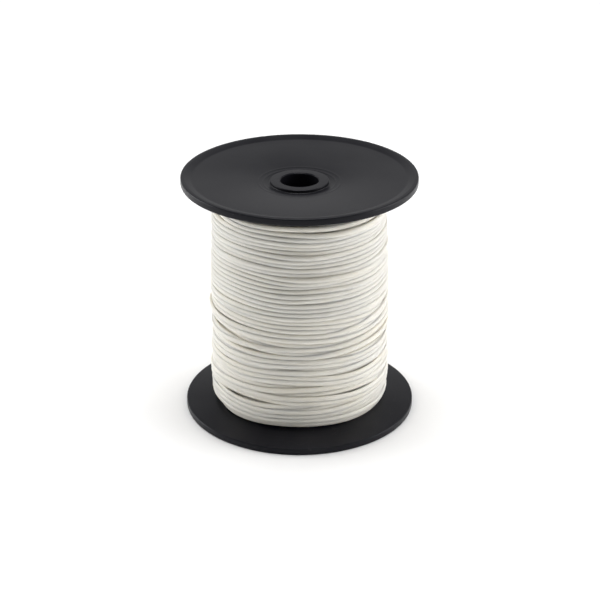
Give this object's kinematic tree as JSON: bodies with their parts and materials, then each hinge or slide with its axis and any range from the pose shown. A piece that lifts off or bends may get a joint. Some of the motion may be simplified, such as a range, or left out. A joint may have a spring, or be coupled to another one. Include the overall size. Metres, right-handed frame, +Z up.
{
  "type": "string reel",
  "caption": "Free-standing reel: two dished end flanges on a hollow core with a through bore, wound with smooth off-white string.",
  "frame": {"origin": "centre of the plane that the lower flange's rim stands on, on the spindle axis", "axes": "+Z up along the spindle axis from the lower flange to the upper flange; X and Y are any two directions square to it, because the reel is round"},
  "size_m": [0.1, 0.1, 0.107],
  "materials": {
    "flange_plastic": "satin black injection-moulded plastic with a faint texture",
    "core_plastic": "matt black injection-moulded plastic",
    "string": "smooth off-white string with a soft sheen"
  },
  "bodies": {
    "root": {"lower_flange": "flange_plastic", "upper_flange": "flange_plastic", "core": "core_plastic", "string_winding": "string"}
  },
  "joints": []
}
